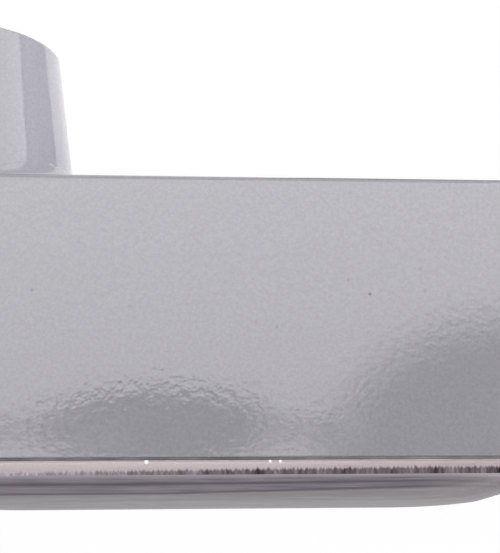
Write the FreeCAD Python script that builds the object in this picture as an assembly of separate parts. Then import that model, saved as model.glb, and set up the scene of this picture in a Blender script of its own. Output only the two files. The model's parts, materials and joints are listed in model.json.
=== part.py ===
# Angled conduit body of 1/2 inch trade size: a cast box with a threaded hub on its back
# and one on its end, a gasket, a stamped cover and two cover screws.
# It lies on its side. +X runs along the box to the end hub, +Y leaves the back hub, and
# the cover faces -Y. The origin is the middle of the bottom of the whole part's box.

import FreeCAD, Part
import math
import os

# Cast box. Its length is measured from the back hub's axis to each end.
box_to_far_end = 17.5
box_to_hub_end = 84.0
box_width = 35.0
box_depth = 33.35
box_corner = 13.0
draft = math.radians(1.0)
side_wall = 2.5
back_wall = 2.5
edge_round = 1.0
floor_round = 2.0

# Hubs, both alike, tapered outside and tapped inside down to a smooth throat.
hub_length = 20.4
hub_rim_radius = 13.4
hub_taper = math.radians(7.1)
hub_rim_round = 0.5
back_skirt_rise = 0.3
back_skirt_drop = 1.6
back_skirt_fillet = 1.2
end_root = 12.0
thread_radius = 10.4
thread_depth = 14.0
thread_chamfer = 0.8
throat_radius = 7.9
throat_length = 2.4
throat_round = 0.9
passage_radius = 8.6

# Gasket, a thin flat ring that stays a little inside the edge of the box.
gasket_thickness = 0.3
gasket_inset = 0.4

# Cover, one sheet with a raised pad that has round ends.
# The pad's section gives its rise at each distance in from its foot.
cover_sheet = 1.63
pad_side_flange = 0.8
pad_crease_in = 1.7
pad_crease_rise = 0.75
pad_ridge_in = 4.3
pad_ridge_rise = 1.68
pad_shoulder_in = 8.7
pad_shoulder_rise = 2.42
pad_rise = 2.58
pad_shoulder_round = 6.0
pad_end_flange = 11.8

# Cover screws, slotted pan heads of number 8 size, and the bosses that they enter.
screw_radius = 2.08
screw_reach = 7.9
screw_tip = 0.4
screw_end_distance = 4.8
head_radius = 4.0
head_height = 2.3
head_side = 1.1
slot_width = 1.2
slot_depth = 1.1
slot_turns = (math.radians(24), math.radians(-38))
tapped_clearance = 0.02
cover_hole_clearance = 0.35
boss_radius = 4.4
boss_depth = 8.0

# Places that follow from the sizes above, with the back hub's axis at x = 0, the box's
# open rim at y = 0 and the part's middle plane at z = 0.
far_end_x = -box_to_far_end
hub_end_x = box_to_hub_end
middle_x = (far_end_x + hub_end_x) / 2
end_hub_y = box_depth / 2
cover_inner_y = -gasket_thickness
cover_outer_y = cover_inner_y - cover_sheet
pad_half_width = box_width / 2 - pad_side_flange
screw_xs = (far_end_x + screw_end_distance, hub_end_x - screw_end_distance)
hub_base_radius = hub_rim_radius + hub_length * math.tan(hub_taper)
past = 1.0  # how far a cutting shape runs past the face that it opens

# The move that puts the origin at the middle of the bottom of the whole part's box.
lowest_y = cover_outer_y - max(pad_rise, head_height)
to_origin = FreeCAD.Vector(
    -(far_end_x + hub_end_x + hub_length) / 2,
    -(lowest_y + box_depth + hub_length) / 2,
    box_width / 2,
)


def corner_arc(before, corner, after, radius):
    """The start, middle and end of the arc that rounds a corner of an outline."""
    towards_before = (before - corner).normalize()
    towards_after = (after - corner).normalize()
    half_angle = towards_before.getAngle(towards_after) / 2
    reach = radius / math.tan(half_angle)
    centre_way = (towards_before + towards_after).normalize()
    centre = corner + centre_way * (radius / math.sin(half_angle))
    return (
        corner + towards_before * reach,
        centre - centre_way * radius,
        corner + towards_after * reach,
    )


def outline(corners, place):
    """A closed wire through corners (u, v, radius), where place(u, v) gives the point in space."""
    points = [place(u, v) for u, v, radius in corners]
    arcs = []
    for i, (u, v, radius) in enumerate(corners):
        before = points[i - 1]
        after = points[(i + 1) % len(points)]
        if radius > 0:
            arcs.append(corner_arc(before, points[i], after, radius))
        else:
            arcs.append((points[i], None, points[i]))
    edges = []
    for i, (start, middle, end) in enumerate(arcs):
        if middle is not None:
            edges.append(Part.Arc(start, middle, end).toShape())
        next_start = arcs[(i + 1) % len(arcs)][0]
        if end.distanceToPoint(next_start) > 1e-6:
            edges.append(Part.LineSegment(end, next_start).toShape())
    return Part.Wire(edges)


def box_outline(inset, y):
    """The box's rounded rectangle at depth y, drawn in by inset, its long sides drafted."""
    left = far_end_x + inset
    right = hub_end_x - inset
    narrowing = inset + y * math.tan(draft)
    half = box_width / 2 - narrowing
    radius = box_corner - narrowing
    corners = [(left, -half, radius), (right, -half, radius), (right, half, radius), (left, half, radius)]
    return outline(corners, lambda x, z: FreeCAD.Vector(x, y, z))


def drafted_block(inset, start_y, end_y, round_radius):
    """A block with the box's outline from start_y to end_y, its deep edge rounded."""
    block = Part.makeLoft([box_outline(inset, start_y), box_outline(inset, end_y)], True, True)
    deep_edges = [edge for edge in block.Edges if min(v.Y for v in edge.Vertexes) > end_y - 1e-6]
    return block.makeFillet(round_radius, deep_edges).Solids[0]


def flat_plate(inset, top_y, thickness):
    """A plate with the outline that the box has at its rim, from top_y towards -Y."""
    wire = box_outline(inset, 0)
    wire.translate(FreeCAD.Vector(0, top_y, 0))
    return Part.Face(wire).extrude(FreeCAD.Vector(0, -thickness, 0))


def boss_block(x, start_y, end_y):
    """A column round a cover screw, joined by a web to the middle of the nearest end wall."""
    wall_x = far_end_x + side_wall / 2 if x < middle_x else hub_end_x - side_wall / 2
    depth = end_y - start_y
    corner = FreeCAD.Vector(min(x, wall_x), start_y, -boss_radius)
    web = Part.makeBox(abs(wall_x - x), depth, 2 * boss_radius, corner)
    column = Part.makeCylinder(boss_radius, depth, FreeCAD.Vector(x, start_y, 0), FreeCAD.Vector(0, 1, 0))
    return web.fuse(column)


def turned(corners, origin, axis):
    """A solid of revolution from corners (radius, height, rounding) about an axis through origin."""
    across = FreeCAD.Vector(0, 0, 1)
    wire = outline(corners, lambda r, h: origin + across * r + axis * h)
    return Part.Face(wire).revolve(origin, axis, 360)


def back_hub():
    """The back hub's outside: its taper ends in a sloping skirt, flush with the box's sides."""
    waist = hub_base_radius - back_skirt_rise * math.tan(hub_taper)
    corners = [
        (0, -back_skirt_drop, 0),
        (waist + back_skirt_rise + back_skirt_drop, -back_skirt_drop, 0),
        (waist, back_skirt_rise, back_skirt_fillet),
        (hub_rim_radius, hub_length, hub_rim_round),
        (0, hub_length, 0),
    ]
    hub = turned(corners, FreeCAD.Vector(0, box_depth, 0), FreeCAD.Vector(0, 1, 0))
    sides = Part.makeLoft([box_outline(0, 0), box_outline(0, box_depth + hub_length)], True, True)
    return hub.common(sides)


def end_hub():
    """The end hub's outside: its root runs straight back into the box's rounded end."""
    corners = [
        (0, -end_root, 0),
        (hub_base_radius, -end_root, 0),
        (hub_base_radius, 0, 0),
        (hub_rim_radius, hub_length, hub_rim_round),
        (0, hub_length, 0),
    ]
    return turned(corners, FreeCAD.Vector(hub_end_x, end_hub_y, 0), FreeCAD.Vector(1, 0, 0))


def hub_inside(origin, axis, wall):
    """The space inside a hub: mouth chamfer, tapped bore, throat, and the way into the box."""
    mouth = hub_length
    shoulder = mouth - thread_depth
    throat_end = shoulder - throat_length
    corners = [
        (0, -wall - past, 0),
        (passage_radius, -wall - past, 0),
        (passage_radius, throat_end, 0),
        (throat_radius, throat_end, throat_round),
        (throat_radius, shoulder, throat_round),
        (thread_radius, shoulder, 0),
        (thread_radius, mouth - thread_chamfer, 0),
        (thread_radius + thread_chamfer, mouth, 0),
        (thread_radius + thread_chamfer, mouth + past, 0),
        (0, mouth + past, 0),
    ]
    return turned(corners, origin, axis)


def make_body():
    """The casting: box, hubs and screw bosses in one piece."""
    shell = drafted_block(0, 0, box_depth, edge_round)
    shell = shell.fuse([back_hub(), end_hub()])
    shell = shell.cut(flat_plate(-hub_length, 0, hub_base_radius))
    cavity = drafted_block(side_wall, -past, box_depth - back_wall, floor_round)
    for x in screw_xs:
        cavity = cavity.cut(boss_block(x, -past, boss_depth))
    body = shell.cut(cavity)
    body = body.cut(hub_inside(FreeCAD.Vector(0, box_depth, 0), FreeCAD.Vector(0, 1, 0), back_wall))
    body = body.cut(hub_inside(FreeCAD.Vector(hub_end_x, end_hub_y, 0), FreeCAD.Vector(1, 0, 0), side_wall))
    return body.cut(screw_holes(screw_radius + tapped_clearance, -past, boss_depth + past))


def screw_holes(radius, start_y, end_y):
    """Round holes along both cover screws' axes, from start_y to end_y."""
    return [
        Part.makeCylinder(radius, end_y - start_y, FreeCAD.Vector(x, start_y, 0), FreeCAD.Vector(0, 1, 0))
        for x in screw_xs
    ]


def make_gasket():
    """The thin ring between rim and cover, with a lobe at each screw."""
    gasket = flat_plate(gasket_inset, 0, gasket_thickness)
    opening = flat_plate(side_wall, past, gasket_thickness + 2 * past)
    for x in screw_xs:
        opening = opening.cut(boss_block(x, cover_inner_y - past, past))
    gasket = gasket.cut(opening)
    return gasket.cut(screw_holes(screw_radius + cover_hole_clearance, cover_inner_y - past, past))


def pad_section(face_y):
    """Half of the pad's section, from its middle line to its foot, on a sheet face at face_y."""
    return [
        (0, face_y - pad_rise, 0),
        (pad_half_width - pad_shoulder_in, face_y - pad_shoulder_rise, pad_shoulder_round),
        (pad_half_width - pad_ridge_in, face_y - pad_ridge_rise, 0),
        (pad_half_width - pad_crease_in, face_y - pad_crease_rise, 0),
        (pad_half_width, face_y, 0),
        (0, face_y, 0),
    ]


def raised_pad(face_y):
    """The pad as a solid on a sheet face at face_y: a straight middle between two round ends."""
    end_reach = pad_end_flange + pad_half_width
    first_x = far_end_x + end_reach
    last_x = hub_end_x - end_reach
    pad = None
    for x in (first_x, last_x):
        centre = FreeCAD.Vector(x, 0, 0)
        end = turned(pad_section(face_y), centre, FreeCAD.Vector(0, 1, 0))
        pad = end if pad is None else pad.fuse(end)
    for side in (-1, 1):
        wire = outline(pad_section(face_y), lambda z, y: FreeCAD.Vector(first_x, y, side * z))
        half = Part.Face(wire).extrude(FreeCAD.Vector(last_x - first_x, 0, 0))
        pad = pad.fuse(half)
    return pad


def make_cover():
    """The stamped cover: the pad's hollow is pressed out of the same sheet."""
    cover = flat_plate(0, cover_inner_y, cover_sheet)
    cover = cover.fuse(raised_pad(cover_outer_y))
    cover = cover.cut(raised_pad(cover_inner_y))
    holes = screw_holes(screw_radius + cover_hole_clearance, cover_outer_y - past, cover_inner_y + past)
    return cover.cut(holes).removeSplitter()


def make_screw(x, slot_turn):
    """A slotted pan head screw, its head seated on the cover."""
    seat = FreeCAD.Vector(x, cover_outer_y, 0)
    crown_round = head_height - head_side
    corners = [
        (0, screw_reach, 0),
        (screw_radius - screw_tip, screw_reach, 0),
        (screw_radius, screw_reach - screw_tip, 0),
        (screw_radius, 0, 0),
        (head_radius, 0, 0),
        (head_radius, -head_height, crown_round),
        (0, -head_height, 0),
    ]
    screw = turned(corners, seat, FreeCAD.Vector(0, 1, 0))
    slot_reach = head_radius + past
    slot_corner = FreeCAD.Vector(x - slot_width / 2, cover_outer_y - head_height - past, -slot_reach)
    slot = Part.makeBox(slot_width, slot_depth + past, 2 * slot_reach, slot_corner)
    slot.rotate(seat, FreeCAD.Vector(0, 1, 0), math.degrees(slot_turn))
    return screw.cut(slot)


def write(node, shape):
    """Move a finished piece to the part's frame and write its file."""
    solids = [solid.copy() for solid in shape.Solids]
    piece = solids[0] if len(solids) == 1 else Part.makeCompound(solids)
    piece.translate(to_origin)
    piece.exportStep(f"parts/{node}.step")
    print(node, "solids", len(solids), "valid", piece.isValid(), "cm3", round(piece.Volume / 1000, 3))


os.makedirs("parts", exist_ok=True)
write("body", make_body())
write("gasket", make_gasket())
write("cover", make_cover())
for number, (x, slot_turn) in enumerate(zip(screw_xs, slot_turns), start=1):
    write(f"cover_screw_{number}", make_screw(x, slot_turn))
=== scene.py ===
import json
import math

import bmesh
import bpy
from mathutils import Matrix, Vector


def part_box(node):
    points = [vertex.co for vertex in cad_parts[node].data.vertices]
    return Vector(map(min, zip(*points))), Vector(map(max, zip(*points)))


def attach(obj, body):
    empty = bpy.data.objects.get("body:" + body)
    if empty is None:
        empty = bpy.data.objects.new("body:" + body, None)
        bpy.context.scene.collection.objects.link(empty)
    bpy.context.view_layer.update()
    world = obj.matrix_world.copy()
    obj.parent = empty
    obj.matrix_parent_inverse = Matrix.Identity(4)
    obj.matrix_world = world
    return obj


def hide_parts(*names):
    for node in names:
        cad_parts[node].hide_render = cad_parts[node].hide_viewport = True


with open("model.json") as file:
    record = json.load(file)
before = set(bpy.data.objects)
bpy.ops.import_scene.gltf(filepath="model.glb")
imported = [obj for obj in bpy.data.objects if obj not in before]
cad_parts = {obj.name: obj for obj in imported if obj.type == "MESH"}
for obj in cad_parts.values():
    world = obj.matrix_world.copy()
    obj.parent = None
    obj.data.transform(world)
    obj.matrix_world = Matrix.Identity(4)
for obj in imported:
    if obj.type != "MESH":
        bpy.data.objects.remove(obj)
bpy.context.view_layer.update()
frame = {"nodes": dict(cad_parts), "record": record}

# The view: a camera above the lying body, a little beyond its cover, so that it sees the
# upper side wall, one corner of the back hub and the cover's sheared edge. Found by fitting
# the photo's edges; the whole scene is in metres.
mm = 0.001
camera_place = Vector((-20.422, -39.310, 188.371)) * mm
camera_pitch = math.radians(12.998)
camera_yaw = math.radians(-5.069)
camera_roll = math.radians(0.740)
camera_lens = 88.71

scene = bpy.context.scene
scene.view_settings.view_transform = "Standard"
scene.camera = bpy.data.objects.new("camera", bpy.data.cameras.new("camera"))
scene.collection.objects.link(scene.camera)
scene.camera.data.lens = camera_lens
scene.camera.data.clip_start = 10 * mm
scene.camera.matrix_world = (
    Matrix.Translation(camera_place)
    @ Matrix.Rotation(camera_yaw, 4, "Y")
    @ Matrix.Rotation(camera_pitch, 4, "X")
    @ Matrix.Rotation(-camera_roll, 4, "Z")
)


# The casting: box and both hubs are one piece of die cast aluminium. It is sprayed with
# polyester powder and baked, which leaves an even grey gloss coat with fine orange peel.
# The hubs are tapped after that, so their bores are bare.
def linear(colour):
    """An sRGB hex colour as the linear one that a shader takes."""
    channels = [int(colour[i:i + 2], 16) / 255 for i in (0, 2, 4)]
    return [c / 12.92 if c <= 0.04045 else ((c + 0.055) / 1.055) ** 2.4 for c in channels] + [1.0]


def join(tree, node, inputs):
    """Each input takes a value, another node's output, or a node for the output that it has."""
    for name, value in inputs.items():
        if isinstance(value, bpy.types.Node):
            value = next(output for output in value.outputs if output.enabled)
        if isinstance(value, bpy.types.NodeSocket):
            tree.links.new(value, node.inputs[name])
        else:
            node.inputs[name].default_value = value


def add_node(tree, kind, inputs, **settings):
    """A new node with its settings and links.

    MapRange takes a value (0), the range it is read in (1, 2) and the one it is turned to
    (3, 4). Mix takes a share (0) and two numbers (2, 3) or two colours (6, 7).
    """
    node = tree.nodes.new("ShaderNode" + kind)
    for name, value in settings.items():
        setattr(node, name, value)
    join(tree, node, inputs)
    return node


def new_material(name, **values):
    """A material, its node tree and its shader with the values that are even all over."""
    material = bpy.data.materials.new(name)
    material.use_nodes = True
    shader = material.node_tree.nodes["Principled BSDF"]
    for socket, value in values.items():
        shader.inputs[socket.replace("_", " ")].default_value = value
    return material, material.node_tree, shader


def give(piece, material):
    """The piece is of that one material all over."""
    piece.data.materials.clear()
    piece.data.materials.append(material)


coat_grey = linear("9C9AA1")
coat_grey_dark = linear("929098")
speck_grey = linear("45444A")
bare_aluminium = linear("C6C5C3")
coat_gloss, bare_gloss = 0.05, 0.35
noise_low, noise_high = 0.35, 0.65
peel_width = 0.75 * mm
peel_height = 0.0085 * mm
speckle_width = 0.4 * mm
edge_round = 0.25 * mm
bare_reach = 0.9 * mm
speck_level = 34.67 * mm
specks = [  # place along and across the upper side wall and radius, in mm, and how dark
    (7.25, -5.69, 0.26, 0.9), (-31.83, -5.45, 0.3, 0.3), (-20.66, -7.39, 0.5, 0.12),
    (-6.17, -9.09, 0.3, 0.25), (-3.74, -9.67, 0.3, 0.25), (4.71, -4.02, 0.25, 0.35),
    (13.31, -2.63, 0.35, 0.25), (13.79, -5.29, 0.35, 0.25), (16.62, -5.88, 0.25, 0.25),
]
speck_core = 0.3

hubs = {mount["name"]: mount for mount in frame["record"]["mounts"]}


def in_a_bore(tree, place, hub):
    """1 on what a hub's tap and reamer have touched, and 0 elsewhere."""
    from_mouth = add_node(tree, "VectorMath", {0: place, 1: hub["pos_m"]}, operation="SUBTRACT")
    along = add_node(tree, "VectorMath", {0: from_mouth, 1: hub["axis"]}, operation="DOT_PRODUCT")
    turned = add_node(tree, "VectorMath", {0: from_mouth, 1: hub["axis"]}, operation="CROSS_PRODUCT")
    off_axis = add_node(tree, "VectorMath", {0: turned}, operation="LENGTH")
    widest = hub["dims"]["r_mm"] * mm + bare_reach
    deepest = -hub["dims"]["length_mm"] * mm - bare_reach / 2
    narrow = add_node(tree, "Math", {0: off_axis, 1: widest}, operation="LESS_THAN")
    outer = add_node(tree, "Math", {0: along, 1: deepest}, operation="GREATER_THAN")
    return add_node(tree, "Math", {0: narrow, 1: outer}, operation="MULTIPLY")


# Powder coat: the eye sees fine speckle, a few dark specks, and ripples in what it mirrors.
powder_coat, tree, shader = new_material("powder_coat_on_cast_aluminium", IOR=1.5)
place = add_node(tree, "TexCoord", {}).outputs["Object"]
bores = [in_a_bore(tree, place, hubs[name]) for name in ("back_hub", "end_hub")]
bare = add_node(tree, "Math", {0: bores[0], 1: bores[1]}, operation="MAXIMUM")
speckle = {"Vector": place, "Scale": 1 / speckle_width, "Detail": 3.0, "Roughness": 0.75}
speckle = add_node(tree, "TexNoise", speckle)
shade = add_node(tree, "MapRange", {0: speckle, 1: noise_low, 2: noise_high})
coat = add_node(tree, "Mix", {0: shade, 6: coat_grey_dark, 7: coat_grey}, data_type="RGBA")
specked = 0.0
for x, y, radius, darkness in specks:
    middle = (x * mm, y * mm, speck_level)
    off = add_node(tree, "VectorMath", {0: place, 1: middle}, operation="DISTANCE")
    spot = {0: off, 1: speck_core * radius * mm, 2: radius * mm, 3: darkness, 4: 0.0}
    spot = add_node(tree, "MapRange", spot)
    specked = add_node(tree, "Math", {0: spot, 1: specked}, operation="MAXIMUM")
coat = add_node(tree, "Mix", {0: specked, 6: coat, 7: speck_grey}, data_type="RGBA")
colour = add_node(tree, "Mix", {0: bare, 6: coat, 7: bare_aluminium}, data_type="RGBA")
gloss = add_node(tree, "MapRange", {0: bare, 3: coat_gloss, 4: bare_gloss})
peel = add_node(tree, "TexNoise", {"Vector": place, "Scale": 1 / peel_width, "Detail": 1.0})
edges = add_node(tree, "Bevel", {"Radius": edge_round}, samples=4)
bump = add_node(tree, "Bump", {"Height": peel, "Distance": peel_height, "Normal": edges})
join(tree, shader, {"Base Color": colour, "Metallic": bare, "Roughness": gloss, "Normal": bump})
give(frame["nodes"]["body"], powder_coat)


# The foundry's fillets where the two hubs run into the box. A ball that touches both
# surfaces leaves each of them, and it gets smaller where the flat next to the hub runs out.
# They are part of the same casting, laid over the sharp corners of the solid.
crisp_angle = math.radians(32)
double_reach = 0.002 * mm


def finish_piece(name, bm, material):
    """The finished mesh as a piece of the object in its material."""
    bmesh.ops.remove_doubles(bm, verts=bm.verts, dist=double_reach)
    bmesh.ops.recalc_face_normals(bm, faces=bm.faces)
    piece = bpy.data.objects.new(name, bpy.data.meshes.new(name))
    scene.collection.objects.link(piece)
    bm.to_mesh(piece.data)
    bm.free()
    piece.data.shade_smooth()
    piece.data.set_sharp_from_angle(angle=crisp_angle)
    give(piece, material)
    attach(piece, "root")
    return piece


hub_root_radius = 15.94 * mm
hub_taper = math.radians(7.1)
fillet_least = 0.02 * mm
fillet_steps = 144
fillet_cuts = 8
fillet_proud = 1.001
corner_depth = 1.15
skirt_width = 0.35 * mm
skirt_dip = 0.08
least_turn = 0.1


def on_ball(centre, ball, to_hub, to_box, share):
    """A point of the ball's arc from the hub (share 0) to the box (1).

    A share past either end gives the skirt that dips under that surface, and -1 the buried corner.
    """
    if share == -1:
        return centre + (to_hub + to_box) * ball * corner_depth
    kept = min(max(share, 0), 1)
    angle = to_hub.angle(to_box)
    from_hub, from_box = math.sin(kept * angle), math.sin((1 - kept) * angle)
    towards = (to_hub * from_box + to_box * from_hub) / math.sin(angle)
    point = centre + towards * ball * fillet_proud
    if share != kept:
        other = to_box if share < 0 else to_hub
        skirt = min(skirt_width, ball)
        point += ((towards * other.dot(towards) - other).normalized() + towards * skirt_dip) * skirt
    return point


def lay_fillet(name, surface, place):
    """A fillet: its section is spun round the hub and each point is laid on the surface."""
    bm = bmesh.new()
    shares = [-1.0, -0.1] + [i / fillet_cuts for i in range(fillet_cuts + 1)] + [1.1]
    section = [bm.verts.new((share, 1.0, 0.0)) for share in shares]
    loop = [bm.edges.new((a, b)) for a, b in zip(section, section[1:] + section[:1])]
    bmesh.ops.spin(
        bm, geom=section + loop, cent=(0, 0, 0), axis=(1, 0, 0), angle=2 * math.pi,
        steps=fillet_steps, use_merge=True, use_normal_flip=False, use_duplicate=False,
    )
    for v in bm.verts:
        v.co = surface(math.atan2(v.co.z, v.co.y), v.co.x) + place
    finish_piece(name, bm, powder_coat)


end_hub_axis = Vector(hubs["end_hub"]["pos_m"])
end_fillet_radius = 1.5 * mm
box_end_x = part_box("cover")[1].x
box_corner = 13.0 * mm
corner_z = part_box("body")[1].z / 2 - box_corner
room_to_rim = 16.6 * mm
room_to_back = 15.6 * mm


def end_hub_surface(turn, share):
    """The fillet round the end hub, on the box's rounded end."""
    up, out = math.sin(turn), math.cos(turn)
    room = room_to_back if up > 0 else room_to_rim
    ball = min(end_fillet_radius, room / max(abs(up), least_turn) - hub_root_radius)
    ball = max(ball, fillet_least)
    reach = hub_root_radius + ball
    sideways = max(0.0, abs(reach * out) - corner_z)
    lean = math.asin(sideways / (box_corner + ball))
    ball_x = box_end_x - box_corner + (box_corner + ball) * math.cos(lean)
    tapered = max(0.0, ball_x - box_end_x) * math.tan(hub_taper)
    centre = Vector((ball_x, (reach - tapered) * up, (reach - tapered) * out))
    to_hub = Vector((0, -up, -out))
    to_box = Vector((-math.cos(lean), 0, -math.copysign(math.sin(lean), out)))
    return on_ball(centre, ball, to_hub, to_box, share)


lay_fillet("end_hub_fillet", end_hub_surface, Vector((0, end_hub_axis.y, end_hub_axis.z)))

back_hub_axis = Vector(hubs["back_hub"]["pos_m"])
back_fillet_radius = 4.2 * mm
back_plane_y = 8.73 * mm
back_half_width = 15.92 * mm
back_end_room = 1.85 * mm


def back_hub_surface(turn, share):
    """The fillet round the back hub, on the box's flat back."""
    out = Vector((math.cos(turn), 0, math.sin(turn)))
    if out.x > 0:
        room = back_half_width / max(abs(out.z), least_turn) - hub_root_radius
    else:
        room = back_end_room * (2 * out.x * out.z) ** 2
    ball = 1 / math.hypot(1 / back_fillet_radius, 1 / max(room, fillet_least))
    reach = hub_root_radius + ball * (1 / math.cos(hub_taper) - math.tan(hub_taper))
    centre = out * reach + Vector((0, back_plane_y + ball, 0))
    to_hub = -(out * math.cos(hub_taper) + Vector((0, math.sin(hub_taper), 0)))
    return on_ball(centre, ball, to_hub, Vector((0, -1, 0)), share)


lay_fillet("back_hub_fillet", back_hub_surface, Vector((back_hub_axis.x, 0, back_hub_axis.z)))


# The threads in both hubs, cut by a tapered pipe tap, 14 turns to the inch: a bare bright
# ridge that winds in to the shoulder. The mouth's chamfer and the tap's lead cut it away
# at its two ends.
thread_pitch = 25.4 / 14 * mm
thread_height = 1.2 * mm
thread_taper = 1 / 32
thread_flat = 0.14 * mm
thread_steps = 72
root_in_wall = 0.05 * mm
at_root = 0.01 * mm
lead_slope = 0.45
chatter_width = 0.3 * mm
chatter_height = 0.008 * mm
smoothest, roughest = 0.22, 0.42

# Machined aluminium: a bright metal that the tap's chatter makes uneven.
machined, tree, shader = new_material("machined_aluminium", Metallic=1.0, Base_Color=linear("CFCECC"))
place = add_node(tree, "TexCoord", {}).outputs["Object"]
chatter = add_node(tree, "TexNoise", {"Vector": place, "Scale": 1 / chatter_width, "Detail": 2.0})
gloss = add_node(tree, "MapRange", {0: chatter, 3: smoothest, 4: roughest})
bump = add_node(tree, "Bump", {"Height": chatter, "Distance": chatter_height})
join(tree, shader, {"Roughness": gloss, "Normal": bump})


def cut_thread(name, hub):
    """The ridge of one hub's thread. It is made along +Z with the bore's mouth at zero."""
    root = hub["dims"]["r_mm"] * mm + root_in_wall
    crest = root - thread_height
    length = hub["dims"]["length_mm"] * mm
    turns = length / thread_pitch
    half_root = thread_pitch / 2 - thread_flat / 2
    half_crest = thread_flat / 2
    bm = bmesh.new()
    corners = [(root, -half_root), (crest, -half_crest), (crest, half_crest), (root, half_root)]
    section = [bm.verts.new((r, 0, h - length)) for r, h in corners]
    for a, b in zip(section, section[1:] + section[:1]):
        bm.edges.new((a, b))
    bm.faces.new(section)
    steps = round(turns * thread_steps)
    bmesh.ops.spin(
        bm, geom=bm.verts[:] + bm.edges[:] + bm.faces[:], cent=(0, 0, 0), axis=(0, 0, 1),
        angle=2 * math.pi * turns, dvec=(0, 0, length / steps), steps=steps,
        use_merge=False, use_normal_flip=False, use_duplicate=False,
    )
    for v in bm.verts:
        off_axis = math.hypot(v.co.x, v.co.y)
        if off_axis > root - at_root:
            v.co.z = min(max(v.co.z, -length), 0)
            continue
        widened = off_axis + (v.co.z + length) * thread_taper
        chamfered = root + v.co.z
        led_in = root - max(0.0, v.co.z + length) * lead_slope
        kept = min(max(widened, chamfered, led_in), root)
        v.co.x *= kept / off_axis
        v.co.y *= kept / off_axis
        v.co.z = min(max(v.co.z, -length), 0)
    to_hub = Vector((0, 0, 1)).rotation_difference(Vector(hub["axis"])).to_matrix().to_4x4()
    bm.transform(Matrix.Translation(Vector(hub["pos_m"])) @ to_hub)
    finish_piece(name, bm, machined)


cut_thread("back_hub_thread", hubs["back_hub"])
cut_thread("end_hub_thread", hubs["end_hub"])


# The gasket is a thin sheet of black rubber, punched to the rim's shape. The screws squeeze
# its edge out until it nearly fills the joint, where it is grey with dust.
dust_width = 6 * mm
rubber_grey, dust_grey = linear("5C585B"), linear("86827F")
rubber, tree, shader = new_material("black_rubber", Roughness=0.75)
place = add_node(tree, "TexCoord", {}).outputs["Object"]
dust = add_node(tree, "TexNoise", {"Vector": place, "Scale": 1 / dust_width, "Detail": 3.0})
dust = add_node(tree, "MapRange", {0: dust, 1: noise_low, 2: noise_high})
dusty = add_node(tree, "Mix", {0: dust, 6: rubber_grey, 7: dust_grey}, data_type="RGBA")
join(tree, shader, {"Base Color": dusty})
give(frame["nodes"]["gasket"], rubber)

cover_low, cover_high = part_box("cover")
cover_middle = Vector(((cover_low.x + cover_high.x) / 2, 0, cover_high.z / 2))
cover_half_length = (cover_high.x - cover_low.x) / 2
gasket_y = (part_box("gasket")[0].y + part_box("gasket")[1].y) / 2
squeezed = [  # in from the rim's outline and up from the gasket's middle, in mm
    (0.5, -0.148), (0.05, -0.148), (0.02, -0.1), (0.02, 0.1), (0.05, 0.148), (0.5, 0.148),
]
ring_segments = 96


def oval_ring(bm, radius, half_length, half_flat, y):
    """A loop square to Y: a circle cut in four and drawn apart."""
    half_step = Matrix.Rotation(math.pi / ring_segments, 4, "Z")
    circle = bmesh.ops.create_circle(bm, segments=ring_segments, radius=radius, matrix=half_step)
    for v in circle["verts"]:
        x = v.co.x + math.copysign(half_length, v.co.x)
        z = v.co.y + math.copysign(half_flat, v.co.y)
        v.co = Vector((x, y, z))
    return circle["verts"]


def outline_ring(bm, inset, y):
    """A loop a little in from the outline that the casting's rim and the cover share."""
    return oval_ring(bm, box_corner - inset, cover_half_length - box_corner, corner_z, y)


def bridge(bm, loops):
    """The bands of faces between each loop and the next."""
    for pair in zip(loops, loops[1:]):
        edges = [e for loop in pair for v in loop for e in v.link_edges if e.other_vert(v) in loop]
        bmesh.ops.bridge_loops(bm, edges=list(dict.fromkeys(edges)))


bm = bmesh.new()
loops = [outline_ring(bm, inset * mm, gasket_y + rise * mm) for inset, rise in squeezed]
bridge(bm, loops + loops[:1])
bmesh.ops.translate(bm, verts=bm.verts, vec=cover_middle)
finish_piece("gasket_squeeze", bm, rubber)


# The cover is stamped from aluminium sheet. Its edge is sheared from the inner face, so it
# has a smooth burnished band there and a torn band next to the outer face. The pad is
# pressed up in two blows, which leaves a crease and a ridge along its flank.
cover_inner_y = cover_high.y
sheet = 1.63 * mm
cover_outer_y = cover_inner_y - sheet
pad_half_width = 16.7 * mm
pad_end_flange = 11.1 * mm
pad_half_straight = cover_half_length - pad_end_flange - pad_half_width
crease_in, crease_rise = 1.85 * mm, 0.82 * mm
ridge_in, ridge_rise = 4.3 * mm, 1.74 * mm
crease_end_in, crease_end_rise = 1.35 * mm, 0.55 * mm
ridge_end_in, ridge_end_rise = 2.0 * mm, 0.85 * mm
run_out_start, run_out_end = -6 * mm, 37 * mm
crease_steps = [(-0.12, -0.05), (0, -0.02), (0.12, 0.03)]  # in and up from the crease, in mm
pad_levels = [  # in from the pad's foot and up from the flange, in mm
    (6.3, 2.04), (7.6, 2.19), (8.7, 2.29), (9.8, 2.37), (11.2, 2.44), (14.2, 2.52), (16.2, 2.57),
]
straight_cuts = 40
outer_round = 0.06 * mm
roll_over = 0.06 * mm
sheared = [  # in from the outline and down from the inner face, in mm
    (0.05, 1.53), (0.0, 1.05), (0.0, 0.12), (0.0, 0.06), (0.02, 0.02),
]

cover_mesh = bmesh.new()
across_layer = cover_mesh.verts.layers.float.new("across")
edge_mark = -1 * mm
same_loop = 1e-4


def marked(verts, across):
    """The loop with its way in from the pad's foot noted on it, in mm, for the material."""
    for v in verts:
        v[across_layer] = across / mm
    return verts


def pad_ring(inset, rise, face_y):
    """A loop of the pad at a distance in from its foot and a rise above the face it stands on."""
    ring = oval_ring(cover_mesh, pad_half_width - inset, pad_half_straight, 0, face_y - rise)
    return marked(ring, inset)


def edge_ring(inset, y):
    """A loop of the sheared edge, a little in from the outline of the cover."""
    return marked(outline_ring(cover_mesh, inset, y), edge_mark - inset)


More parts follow.
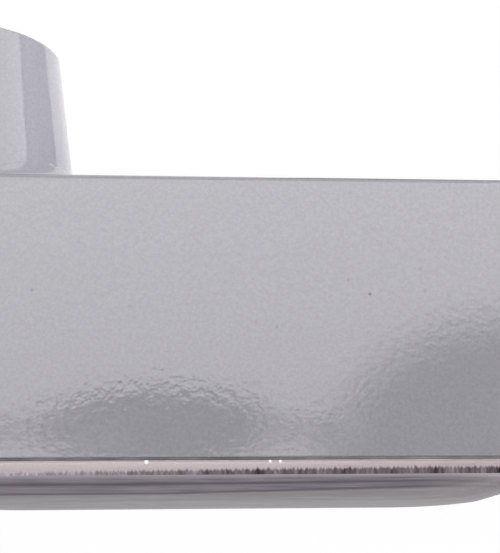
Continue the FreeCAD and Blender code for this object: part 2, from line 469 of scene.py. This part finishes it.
def pad_side(face_y):
    """All loops of one face of the sheet, from the pad's foot to its top."""
    steps = [(0, 0)]
    steps += [(crease_in + inset * mm, crease_rise + rise * mm) for inset, rise in crease_steps]
    steps += [(ridge_in, ridge_rise)]
    steps += [(inset * mm, rise * mm) for inset, rise in pad_levels]
    return [pad_ring(inset, rise, face_y) for inset, rise in steps]


def run_out(inset, rise, to_inset, to_rise):
    """Crease and ridge slant down the flank to meet at the pad's end next to the end hub."""
    loop = [v for v in cover_mesh.verts if abs(v[across_layer] - inset / mm) < same_loop]
    for v in loop:
        centre_x = math.copysign(min(pad_half_straight, abs(v.co.x)), v.co.x)
        share = min(max((v.co.x - run_out_start) / (run_out_end - run_out_start), 0), 1)
        out = Vector((v.co.x - centre_x, 0, v.co.z))
        out.length = pad_half_width - inset - (to_inset - inset) * share
        v.co = Vector((centre_x + out.x, v.co.y - (to_rise - rise) * share, out.z))


outer = [edge_ring(outer_round, cover_outer_y)] + pad_side(cover_outer_y)
inner = [edge_ring(roll_over, cover_inner_y)] + pad_side(cover_inner_y)
edge = [edge_ring(inset * mm, cover_inner_y - down * mm) for inset, down in sheared]
for loops in (outer, inner, [outer[0]] + edge + [inner[0]]):
    bridge(cover_mesh, loops)
for loops in (outer, inner):
    cover_mesh.faces.new(loops[-1])
long_edges = [e for e in cover_mesh.edges if e.calc_length() > pad_half_straight]
bmesh.ops.subdivide_edges(cover_mesh, edges=long_edges, cuts=straight_cuts)
for inset, rise in crease_steps:
    run_out(crease_in + inset * mm, crease_rise, crease_end_in + inset * mm, crease_end_rise)
run_out(ridge_in, ridge_rise, ridge_end_in, ridge_end_rise)
bmesh.ops.translate(cover_mesh, verts=cover_mesh.verts, vec=cover_middle)

# Rolled aluminium sheet: the eye sees grain along the sheet, streaks and smudges from
# handling, painted shade in both folds, and a bright sheared edge with dark teeth.
noises = {  # width of a grain in mm, its stretch, its detail, and the range that is read
    "grain": (0.14, (0.05, 1, 1), 4.0, 0.36, 0.64),
    "streak": (0.5, (0.06, 1, 1), 3.0, 0.42, 0.66),
    "smudge": (1.8, (0.08, 1, 1), 5.0, 0.34, 0.66),
    "tear": (0.3, (1, 0.15, 1), 3.0, 0.38, 0.66),
    "patches": (2.5, (1, 0, 0), 2.0, 0.0, 1.0),
    "pits": (0.2, (1, 1, 1), 3.0, 0.3, 0.7),
    "ragged": (0.4, (1, 0, 0), 4.0, 0.3, 0.7),
}
rolled, tree, shader = new_material("rolled_aluminium_sheet", Metallic=1.0)
place = add_node(tree, "TexCoord", {}).outputs["Object"]
x, y, z = add_node(tree, "SeparateXYZ", {0: place}).outputs
across = add_node(tree, "Attribute", {}, attribute_name="across").outputs["Fac"]
marks = {}
for name, (width, stretch, detail, least, most) in noises.items():
    drawn = add_node(tree, "Mapping", {"Vector": place, "Scale": stretch})
    noise = {"Vector": drawn, "Scale": 1 / (width * mm), "Detail": detail}
    noise = add_node(tree, "TexNoise", noise)
    marks[name] = add_node(tree, "MapRange", {0: noise, 1: least, 2: most})
grain, streak, smudge = marks["grain"], marks["streak"], marks["smudge"]

# The outer face, from the flange over the flank and its two folds to the pad. The flange's
# paler colours are a painted highlight and the flank's darker ones painted shade. Next to the
# end hub the flank takes the pad's colour, so its painted shade fades there, and the pad is
# darker beyond its middle, a painted shade towards the table.
# Painted light: the flange is paler than the pad, a painted highlight, and the flank darker, painted
# shade.
pad_dark, pad_pale = linear("7A7278"), linear("8A828A")
smudge_dark, smudge_pale = linear("7B7379"), linear("8B8389")
flank_dark, flank_pale, flank_streak = linear("706872"), linear("8E8590"), linear("645E6B")
flange_dark, flange_pale = linear("988E95"), linear("AEA4AC")
painted_fold_shade, painted_far_shade = linear("544D56"), linear("5A535B")
flange_end, flank_start = 0.1, 0.8  # in from the pad's foot, in mm, as the mark across is
flank_end, pad_start = 3.9, 5.0
fold_shade_full, fold_shade_gone, fold_shade_left = 0.14, 0.55, 0.3
shade_fade_start, shade_fade_full = 12 * mm, 19 * mm
far_start, far_gone, far_share = 4.5 * mm, 17 * mm, 0.4

pad = add_node(tree, "Mix", {0: grain, 6: pad_dark, 7: pad_pale}, data_type="RGBA")
pad = add_node(tree, "Mix", {0: smudge, 6: pad, 7: smudge_pale}, data_type="RGBA")
pad = add_node(tree, "Mix", {0: smudge, 6: smudge_dark, 7: pad}, data_type="RGBA")
flank = add_node(tree, "Mix", {0: grain, 6: flank_dark, 7: flank_pale}, data_type="RGBA")
flank = add_node(tree, "Mix", {0: streak, 6: flank, 7: flank_streak}, data_type="RGBA")
flange = add_node(tree, "Mix", {0: grain, 6: flange_dark, 7: flange_pale}, data_type="RGBA")
# Painted shade: the flank's darker colours give way to the pad's towards the end hub.
shade_fade = add_node(tree, "MapRange", {0: x, 1: shade_fade_start, 2: shade_fade_full})
flank = add_node(tree, "Mix", {0: shade_fade, 6: flank, 7: pad}, data_type="RGBA")
past_ridge = add_node(tree, "MapRange", {0: across, 1: flank_end, 2: pad_start})
face = add_node(tree, "Mix", {0: past_ridge, 6: flank, 7: pad}, data_type="RGBA")
past_foot = add_node(tree, "MapRange", {0: across, 1: flange_end, 2: flank_start})
face = add_node(tree, "Mix", {0: past_foot, 6: flange, 7: face}, data_type="RGBA")
kept = add_node(tree, "MapRange", {0: shade_fade, 3: 1.0, 4: fold_shade_left})
# Painted shade: both folds are darkened along their lines, less so next to the end hub.
for fold in (crease_in / mm, ridge_in / mm):
    off_fold = add_node(tree, "Math", {0: across, 1: fold}, operation="SUBTRACT")
    off_fold = add_node(tree, "Math", {0: off_fold}, operation="ABSOLUTE")
    fold_shade = add_node(tree, "MapRange", {0: off_fold, 1: fold_shade_full, 2: fold_shade_gone, 3: 1.0, 4: 0.0})
    fold_shade = add_node(tree, "Math", {0: fold_shade, 1: kept}, operation="MULTIPLY")
    face = add_node(tree, "Mix", {0: fold_shade, 6: face, 7: painted_fold_shade}, data_type="RGBA")
# Painted shade: the pad's far half, towards the table, is mixed with a dark grey.
beyond = add_node(tree, "MapRange", {0: z, 1: far_start, 2: far_gone, 3: far_share, 4: 0.0})
face = add_node(tree, "Mix", {0: beyond, 6: face, 7: painted_far_shade}, data_type="RGBA")

# The sheared edge: a burnished band with pits and three painted glints, and next to the outer
# face the torn band, which is darker and wider towards the end hub.
burnish_near, burnish_far = linear("B0A7A8"), linear("A4969A")
pit_grey, rolled_grey, glint_bright = linear("847B7E"), linear("6E6669"), linear("E9E4E1")
torn_dark_near, torn_dark_far = linear("A79EA7"), linear("291E22")
torn_pale_near, torn_pale_far = linear("CDC3CC"), linear("56474D")
near, far = -35 * mm, 22 * mm
dark_full_x, dark_start, dark_full = -12 * mm, 0.42, 1.2
pit_share = 0.3
rolled_start, rolled_end = 0.06 * mm, 0.24 * mm
painted_glints = [(-18.7, 0.27), (-4.8, 0.2), (-3.65, 0.2)]  # place along the edge and radius, in mm
glint_down, glint_core = 0.2 * mm, 0.2
tear_x_near, tear_x_far = -38 * mm, 14 * mm
tear_down_near, tear_down_far = 1.3 * mm, 0.85 * mm
teeth_up, teeth_down = -0.26 * mm, 0.22 * mm
tear_start, tear_full = -0.12 * mm, 0.2 * mm
off_edge = -0.98
grain_gloss_low, grain_gloss_high, torn_gloss = 0.36, 0.5, 0.85

darker = add_node(tree, "MapRange", {0: x, 1: near, 2: dark_full_x})
darker = {0: darker, 1: marks["patches"], 2: 0.5}
darker = add_node(tree, "Math", darker, operation="MULTIPLY_ADD")
darker = add_node(tree, "MapRange", {0: darker, 1: dark_start, 2: dark_full})
torn_dark = {0: darker, 6: torn_dark_near, 7: torn_dark_far}
torn_dark = add_node(tree, "Mix", torn_dark, data_type="RGBA")
torn_pale = {0: darker, 6: torn_pale_near, 7: torn_pale_far}
torn_pale = add_node(tree, "Mix", torn_pale, data_type="RGBA")
torn = add_node(tree, "Mix", {0: marks["tear"], 6: torn_dark, 7: torn_pale}, data_type="RGBA")
along = add_node(tree, "MapRange", {0: x, 1: near, 2: far})
burnish = add_node(tree, "Mix", {0: along, 6: burnish_near, 7: burnish_far}, data_type="RGBA")
pits = add_node(tree, "MapRange", {0: marks["pits"], 3: pit_share, 4: 0.0})
burnish = add_node(tree, "Mix", {0: pits, 6: burnish, 7: pit_grey}, data_type="RGBA")
depth = add_node(tree, "Math", {0: cover_inner_y, 1: y}, operation="SUBTRACT")
past_roll = add_node(tree, "MapRange", {0: depth, 1: rolled_start, 2: rolled_end})
burnish = add_node(tree, "Mix", {0: past_roll, 6: rolled_grey, 7: burnish}, data_type="RGBA")
# Painted highlight: three small near-white spots on the burnished band stand for glints.
for glint_x, radius in painted_glints:
    middle = (glint_x * mm, cover_inner_y - glint_down, cover_high.z)
    off = add_node(tree, "VectorMath", {0: place, 1: middle}, operation="DISTANCE")
    glint = {0: off, 1: glint_core * radius * mm, 2: radius * mm, 3: 1.0, 4: 0.0}
    glint = add_node(tree, "MapRange", glint)
    burnish = add_node(tree, "Mix", {0: glint, 6: burnish, 7: glint_bright}, data_type="RGBA")
teeth = add_node(tree, "MapRange", {0: marks["ragged"], 3: teeth_up, 4: teeth_down})
reach = {0: x, 1: tear_x_near, 2: tear_x_far, 3: tear_down_near, 4: tear_down_far}
reach = add_node(tree, "MapRange", reach)
reach = add_node(tree, "Math", {0: reach, 1: teeth}, operation="ADD")
past = add_node(tree, "Math", {0: depth, 1: reach}, operation="SUBTRACT")
past = add_node(tree, "MapRange", {0: past, 1: tear_start, 2: tear_full})
sheared_grey = add_node(tree, "Mix", {0: past, 6: burnish, 7: torn}, data_type="RGBA")
on_edge = add_node(tree, "Math", {0: across, 1: off_edge}, operation="LESS_THAN")
colour = add_node(tree, "Mix", {0: on_edge, 6: face, 7: sheared_grey}, data_type="RGBA")
smooth = add_node(tree, "MapRange", {0: grain, 3: grain_gloss_low, 4: grain_gloss_high})
torn_part = add_node(tree, "Math", {0: past, 1: on_edge}, operation="MULTIPLY")
gloss = add_node(tree, "Mix", {0: torn_part, 2: smooth, 3: torn_gloss})
join(tree, shader, {"Base Color": colour, "Roughness": gloss})
cover = finish_piece("stamped_cover", cover_mesh, rolled)
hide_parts("cover")

# Both screw holes are punched through the flange.
hole_radius = 2.43 * mm
hole_segments = 48
punches = bmesh.new()
for screw in ("cover_screw_1", "cover_screw_2"):
    low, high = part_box(screw)
    middle = ((low.x + high.x) / 2, (cover_inner_y + cover_outer_y) / 2, (low.z + high.z) / 2)
    bmesh.ops.create_cone(
        punches, cap_ends=True, segments=hole_segments, radius1=hole_radius, radius2=hole_radius,
        depth=3 * sheet, matrix=Matrix.Translation(middle) @ Matrix.Rotation(math.pi / 2, 4, "X"),
    )
punch = bpy.data.objects.new("punch", bpy.data.meshes.new("punch"))
scene.collection.objects.link(punch)
punches.to_mesh(punch.data)
punches.free()
holes = cover.modifiers.new("screw_holes", "BOOLEAN")
holes.object = punch
seen_cover = cover.evaluated_get(bpy.context.evaluated_depsgraph_get())
punched = bpy.data.meshes.new_from_object(seen_cover)
cover.modifiers.clear()
cover.data = punched
bpy.data.objects.remove(punch)


# The two cover screws are number 8 slotted pan heads of steel, cold headed and barrel
# plated with zinc, so they are bright with a faint yellow haze and fine tumbling marks.
haze_width = 0.9 * mm
dint_width = 0.15 * mm
dint_height = 0.004 * mm
head_round = 0.2 * mm
zinc_grey, zinc_haze = linear("C6C8C6"), linear("B5B2A4")
dint_low, dint_high = 0.3, 0.7

zinc, tree, shader = new_material("zinc_plated_steel", Metallic=1.0)
place = add_node(tree, "TexCoord", {}).outputs["Object"]
haze = add_node(tree, "TexNoise", {"Vector": place, "Scale": 1 / haze_width, "Detail": 3.0})
haze = add_node(tree, "MapRange", {0: haze, 1: noise_low, 2: noise_high})
hazy = add_node(tree, "Mix", {0: haze, 6: zinc_grey, 7: zinc_haze}, data_type="RGBA")
tumbled = add_node(tree, "TexNoise", {"Vector": place, "Scale": 1 / dint_width, "Detail": 3.0})
gloss = {0: tumbled, 1: dint_low, 2: dint_high, 3: smoothest, 4: roughest}
gloss = add_node(tree, "MapRange", gloss)
edges = add_node(tree, "Bevel", {"Radius": head_round}, samples=4)
bump = add_node(tree, "Bump", {"Height": tumbled, "Distance": dint_height, "Normal": edges})
join(tree, shader, {"Base Color": hazy, "Roughness": gloss, "Normal": bump})
for node in ("cover_screw_1", "cover_screw_2"):
    give(frame["nodes"][node], zinc)


# The studio: a white table, a large soft light overhead, three more behind and beside the
# part, and an even sky. The camera sees floor and sky as plain white. Round black flags
# under the overhead light, a lit card behind the part and two cards on the table are what
# the coat's gloss mirrors; nothing else sees or is shaded by them.
sky_light = 0.32
dark_sky = 0.5
sweep_light = 1.5
sweep_start, sweep_end = 0.78, 0.88
scene.world = bpy.data.worlds.new("studio")
scene.world.use_nodes = True
tree = scene.world.node_tree
path = add_node(tree, "LightPath", {})
way = add_node(tree, "TexCoord", {}).outputs["Generated"]
way_back = add_node(tree, "SeparateXYZ", {0: way}).outputs["Y"]
sweep = {0: way_back, 1: sweep_start, 2: sweep_end, 3: dark_sky, 4: sweep_light}
sweep = add_node(tree, "MapRange", sweep)
lit = add_node(tree, "Mix", {0: path.outputs["Is Glossy Ray"], 2: sky_light, 3: sweep})
strength = add_node(tree, "Mix", {0: path.outputs["Is Camera Ray"], 2: lit, 3: 1.0})
join(tree, tree.nodes["Background"], {"Color": linear("FFFFFF"), "Strength": strength})


def stage_piece(name, bm, material):
    """A flat piece of the studio, which isn't part of the object."""
    piece = bpy.data.objects.new(name, bpy.data.meshes.new(name))
    scene.collection.objects.link(piece)
    bm.to_mesh(piece.data)
    bm.free()
    give(piece, material)
    return piece


def gloss_only(piece):
    """A card that only gloss sees: it shades nothing and the camera looks through it."""
    piece.visible_camera = piece.visible_diffuse = piece.visible_shadow = False


eye_share = 0.985
floor_size = 3.0
floor_drop = 0.01 * mm
white, tree, shader = new_material("white_paper", Base_Color=linear("F2F2F2"), Roughness=0.9)
path = add_node(tree, "LightPath", {})
seen = path.outputs["Is Camera Ray"]
for ray in ("Is Glossy Ray", "Is Transmission Ray"):
    seen = add_node(tree, "Math", {0: seen, 1: path.outputs[ray]}, operation="MAXIMUM")
seen = add_node(tree, "Math", {0: seen, 1: eye_share}, operation="MULTIPLY")
glow = add_node(tree, "Emission", {"Color": linear("FFFFFF"), "Strength": 1.0})
mixed = add_node(tree, "MixShader", {0: seen, 1: shader, 2: glow})
join(tree, tree.nodes["Material Output"], {"Surface": mixed})
bm = bmesh.new()
bmesh.ops.create_grid(bm, x_segments=1, y_segments=1, size=floor_size)
bmesh.ops.translate(bm, verts=bm.verts, vec=(0, 0, -floor_drop))
stage_piece("floor", bm, white)


def soft_light(name, place, aim, size, radiance, fade=(0, 0)):
    """A rectangular soft light. Its fade is how much dimmer it gets across and up."""
    lamp = bpy.data.lights.new(name, "AREA")
    lamp.shape = "RECTANGLE"
    lamp.size, lamp.size_y = size
    lamp.energy = radiance * math.pi * size[0] * size[1]
    lamp.use_nodes = True
    tree = lamp.node_tree
    spot = add_node(tree, "NewGeometry", {}).outputs["Parametric"]
    spot = add_node(tree, "VectorMath", {0: spot, 1: (*fade, 0)}, operation="DOT_PRODUCT")
    level = add_node(tree, "Math", {0: 1.0, 1: spot}, operation="SUBTRACT")
    join(tree, tree.nodes["Emission"], {"Strength": level})
    light = bpy.data.objects.new(name, lamp)
    scene.collection.objects.link(light)
    light.location = place
    light.rotation_euler = (Vector(aim) - Vector(place)).to_track_quat("-Z", "Y").to_euler()
    light.visible_camera = False


part_middle = (0, 0, 0.02)
over_flags, under_flags = (0.055, 0.164, 0.7), (0.055, 0.1641, 0)
soft_light("overhead_softbox", over_flags, under_flags, (0.40, 0.23), 3.3, (0.3, -0.8))
soft_light("side_softbox", (0.55, 0.36, 0.32), part_middle, (0.9, 0.42), 2.4)
soft_light("key_softbox", (0.45, 0.25, 0.55), part_middle, (0.4, 0.3), 2.0)
soft_light("end_softbox", (0.7, -0.06, 0.26), part_middle, (0.5, 0.4), 5.0)

flag_level = 0.695
flag_segments = 64
flag_cover = 0.93
flags = [  # middle, half length and half width in mm, and the share that is its soft edge
    (222, 36, 148, 127, 0.12), (-3, 79.5, 86, 28.5, 0.17), (-75, 77, 60, 9, 0.4),
    (90, 78, 36, 9, 0.3),
]
felt = {"Base_Color": linear("0A0A0A"), "Roughness": 1.0}
for number, (x, y, wide, deep, soft) in enumerate(flags, start=1):
    black, tree, shader = new_material(f"black_felt_{number}", **felt)
    place = add_node(tree, "TexCoord", {}).outputs["Generated"]
    off = {"Vector": place, "Location": (-0.5, -0.5, 0), "Scale": (1, 1, 0)}
    off = add_node(tree, "Mapping", off)
    off = add_node(tree, "VectorMath", {0: off}, operation="LENGTH")
    solid = add_node(tree, "MapRange", {0: off, 1: 0.5 - soft, 2: 0.5, 3: flag_cover, 4: 0.0})
    join(tree, shader, {"Alpha": solid})
    bm = bmesh.new()
    bmesh.ops.create_circle(bm, cap_ends=True, segments=flag_segments, radius=mm)
    bmesh.ops.scale(bm, vec=(wide, deep, 1), verts=bm.verts)
    bmesh.ops.translate(bm, vec=(x * mm, y * mm, flag_level), verts=bm.verts)
    gloss_only(stage_piece(f"round_flag_{number}", bm, black))

back_tilt = math.radians(-40)
table_card_level = 0.2 * mm
glowing = {"Base_Color": linear("000000"), "Emission_Color": linear("FFFFFF")}
lit = new_material("lit_white_card", Roughness=1.0, Emission_Strength=5.0, **glowing)[0]
grey = new_material("grey_card", Base_Color=linear("808080"), Roughness=1.0)[0]
bright = new_material("bright_card", Emission_Strength=1.3, **glowing)[0]
cards = [  # its name and material, its middle and its two sides in metres, and its tilt
    ("back_card", lit, (0.05, 0.52, 0.65), (0.7, 0.5), back_tilt),
    ("table_card", grey, (0.3025, 0.206, table_card_level), (0.595, 0.388), 0),
    ("bright_table_card", bright, (-0.043, 0.206, table_card_level), (0.094, 0.388), 0),
]
for name, finish, middle, size, tilt in cards:
    bm = bmesh.new()
    bmesh.ops.create_grid(bm, x_segments=1, y_segments=1, size=0.5)
    bmesh.ops.scale(bm, vec=(*size, 1), verts=bm.verts)
    bmesh.ops.rotate(bm, verts=bm.verts, cent=(0, 0, 0), matrix=Matrix.Rotation(tilt, 3, "X"))
    bmesh.ops.translate(bm, vec=middle, verts=bm.verts)
    gloss_only(stage_piece(name, bm, finish))
